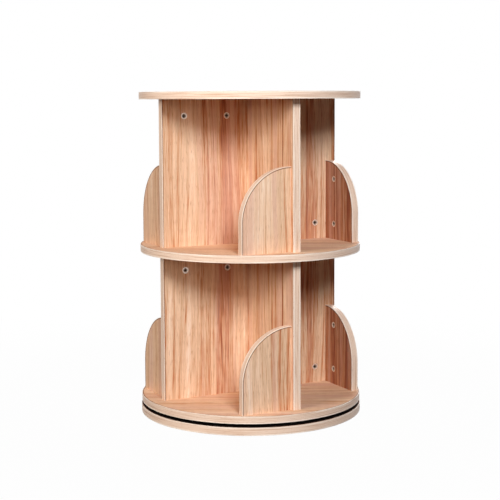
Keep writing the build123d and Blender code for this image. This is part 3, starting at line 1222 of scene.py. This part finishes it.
@dataclass
class Studio:
    """Pale floor, white surroundings, soft lights and the camera.

    The room light is dim and faintly warm, as light that comes back from a lit room is, and
    the surroundings look white where they are seen. Angles are in degrees unless a comment
    says otherwise, and lengths in metres.
    """

    facing: float = -27.0
    aim_height: float = 0.33
    floor_size: float = 30.0
    floor_colour: str = "#5E5C5A"
    floor_glow_near: float = 0.985
    floor_near: float = 0.45
    floor_far: float = 1.3
    surroundings: float = 0.08
    surroundings_colour: str = "#FF9E78"
    softboxes: tuple[Softbox, ...] = (KEY_SOFTBOX, FILL_SOFTBOX, BACK_SOFTBOX)
    camera_distance: float = 2.57327
    camera_height: float = 0.65477
    camera_sideways: float = -0.00008
    # Pitch and roll are in radians, lens and sensor in millimetres, the shift in frame widths
    camera_pitch: float = 0.092
    camera_roll: float = -0.00462
    lens: float = 88.5683
    sensor: float = 36.0
    frame_shift: float = -0.07614
    nearest: float = 0.1
    farthest: float = 100.0

    def build(self) -> None:
        """Set up the floor, the surroundings, the lights and the camera."""
        bpy.context.scene.view_settings.view_transform = "Standard"
        self._floor()
        self._surroundings()
        for softbox in self.softboxes:
            self._hang(softbox)
        self._camera()

    def _hang(self, softbox: Softbox) -> None:
        """Hang one softbox on a sphere round the bookcase.

        Args:
            softbox: The softbox.
        """
        data = bpy.data.lights.new(softbox.name, "AREA")
        data.shape = "SQUARE"
        data.size = softbox.size
        data.energy = softbox.power
        data.color = linear(softbox.colour)[:3]
        light = put_in_scene(softbox.name, data)
        level = math.radians(softbox.angle)
        up = math.radians(softbox.rise)
        side, front = math.cos(up) * math.sin(level), math.cos(up) * math.cos(level)
        out = Vector((side, -front, math.sin(up)))
        out.rotate(Matrix.Rotation(math.radians(self.facing), 3, "Z"))
        aim = Vector((0, 0, self.aim_height))
        light.location = aim + out * softbox.distance
        light.rotation_mode = "QUATERNION"
        light.rotation_quaternion = (aim - light.location).to_track_quat("-Z", "Y")
        LOG.info("%s: %.0f W", softbox.name, softbox.power)

    def _seen_white(self, tree: Tree) -> Socket:
        """Tell rays that see the studio from those that light the bookcase.

        Args:
            tree: Where the nodes go.

        Returns:
            1 for a ray from the camera or by way of metal or glass, and 0 for any other.
        """
        path = add_node(tree, "LightPath").outputs
        seen = path["Is Camera Ray"]
        for ray in ("Is Glossy Ray", "Is Transmission Ray"):
            seen = output_of(add_node(tree, "Math", {0: seen, 1: path[ray]}, operation="MAXIMUM"))
        return seen

    def _surroundings(self) -> None:
        """A dim even room light, faintly warm, that looks white where it is seen."""
        world = bpy.data.worlds.new("studio")
        bpy.context.scene.world = world
        tree = cleared_tree(world)
        seen = self._seen_white(tree)
        tint = {MIX_FACTOR: seen, MIX_A: self.surroundings_colour, MIX_B: WHITE}
        colour = add_node(tree, "Mix", tint, data_type="RGBA")
        level = {"Value": seen, "To Min": self.surroundings, "To Max": 1.0}
        strength = add_node(tree, "MapRange", level, **SMOOTH)
        glow = add_node(tree, "Background", {"Color": colour, "Strength": strength})
        add_node(tree, "OutputWorld", {"Surface": glow})

    def _floor(self) -> None:
        """A plain pale floor that keeps a faint shadow where the camera sees it."""
        half = self.floor_size / 2
        corners = [(-half, -half, 0), (half, -half, 0), (half, half, 0), (-half, half, 0)]
        mesh = bpy.data.meshes.new("floor")
        mesh.from_pydata(corners, [], [(0, 1, 2, 3)])
        floor = put_in_scene("floor", mesh)
        material = bpy.data.materials.new("painted_floor")
        tree = cleared_tree(material)
        paint = add_node(tree, "BsdfDiffuse", {"Color": self.floor_colour})
        glow = add_node(tree, "Emission", {"Color": WHITE, "Strength": 1.0})
        spot = add_node(tree, "TexCoord").outputs["Object"]
        reach = add_node(tree, "VectorMath", {0: spot}, operation="LENGTH").outputs["Value"]
        edges = {"Value": reach, "From Min": self.floor_near, "From Max": self.floor_far}
        glowing = add_node(tree, "MapRange", {**edges, "To Min": self.floor_glow_near}, **SMOOTH)
        seen = self._seen_white(tree)
        share = add_node(tree, "Math", {0: seen, 1: glowing}, operation="MULTIPLY")
        surface = add_node(tree, "MixShader", {0: share, 1: paint, 2: glow})
        add_node(tree, "OutputMaterial", {"Surface": surface})
        mesh.materials.append(material)

    def _camera(self) -> None:
        """Stand the camera where the photograph was taken from."""
        data = bpy.data.cameras.new("camera")
        data.sensor_width = self.sensor
        data.lens = self.lens
        data.shift_y = self.frame_shift
        data.clip_start = self.nearest
        data.clip_end = self.farthest
        camera = put_in_scene("camera", data)
        facing = Matrix.Rotation(math.radians(self.facing), 3, "Z")
        place = Vector((self.camera_sideways, -self.camera_distance, self.camera_height))
        place.rotate(facing)
        camera.location = place
        tilt = Matrix.Rotation(math.pi / 2 - self.camera_pitch, 3, "X")
        roll = Matrix.Rotation(self.camera_roll, 3, "Z")
        camera.rotation_euler = (facing @ tilt @ roll).to_euler()
        bpy.context.scene.camera = camera


def divider_cuts(start: float, arched: bool) -> dict[str, SheetCut]:
    """Saw the three dividers of one tier.

    Args:
        start: Seed of the first one.
        arched: Whether the left one comes from where the tree's rings run out in arches.

    Returns:
        The cut of each divider.
    """
    left = (
        Streak(-232.0, 90.0, 0.0, -0.4),
        Streak(-214.0, 30.0, 0.2, -0.2),
        Streak(-178.0, 16.0, -0.15),
    )
    right = (
        Streak(35.0, 340.0, 0.0, -0.42),
        Streak(40.0, 40.0, -0.06, 0.1),
        Streak(-55.0, 26.0, -0.18),
        Streak(75.0, 24.0, -0.13, 0.1),
        Streak(108.0, 36.0, 0.05),
    )
    long = (Streak(50.0, 18.0, 0.0, 0.4), Streak(-88.0, 5.0, -0.5), Streak(-60.0, 30.0, -0.1))
    if arched:
        left += (Streak(-138.0, 30.0, -0.27, 0.1), Streak(-97.0, 26.0, 0.32, -0.4))
    else:
        left += (Streak(-131.0, 30.0, -0.27, 0.1),)
    left_cut = SheetCut(heart=-110.0, streaks=left, seed=start)
    if arched:
        left_cut = replace(left_cut, heart=-200.0, depth=6.0, slope=0.12, figure=0.15)
    return {
        "left": left_cut,
        # The right divider's print is set darker, partly print and partly painted shade for the
        # shade it stands in
        "right": SheetCut(heart=60.0, tone=0.48, streaks=right, seed=start + 5.0),
        "long": SheetCut(turn=90.0, heart=20.0, streaks=long, seed=start + 10.0),
    }


def stop_cuts(start: float) -> dict[str, SheetCut]:
    """Saw the four end stops of one tier.

    Args:
        start: Seed of the first one.

    Returns:
        The cut of each end stop.
    """
    front = (
        Streak(-170.0, 48.0, 0.17),
        Streak(-128.0, 14.0, 0.14, -0.3),
        Streak(-96.0, 34.0, -0.02, -0.5),
    )
    back = (Streak(-30.0, 30.0, -0.15), Streak(20.0, 24.0, 0.1, 0.3))
    left = (Streak(40.0, 30.0, -0.1, 0.2),)
    right = (Streak(10.0, 140.0, -0.08, 0.1),)
    cuts = {
        "front": SheetCut(tone=0.59, streaks=front),
        "back": SheetCut(tone=0.52, streaks=back),
        "left": SheetCut(turn=90.0, tone=0.66, streaks=left),
        # The right stops' print is set much darker, partly print and partly painted shade on their
        # shaded inner faces
        "right": SheetCut(turn=90.0, tone=0.3, streaks=right),
    }
    return {
        arm: replace(cut, heart=-40.0 + 60.0 * index, seed=start + 3.0 * index)
        for index, (arm, cut) in enumerate(cuts.items())
    }


def main() -> None:
    """Build the looks piece by piece."""
    logging.basicConfig(level=logging.INFO, format="%(name)s: %(message)s")
    laminate = WoodPrintLaminate()
    band = PrintedEdgeBand()
    Studio().build()
    RoundBoards(laminate, band).build()
    for tier, start in (("lower", 520.0), ("upper", 560.0)):
        DividerCross(laminate, band, tier, divider_cuts(start, tier == "lower")).build()
        EndStops(laminate, band, tier, stop_cuts(start + 20.0)).build()
    Fittings().build()
    RingBearing().build()
    FootPads().build()


if __name__ == "__main__":
    main()
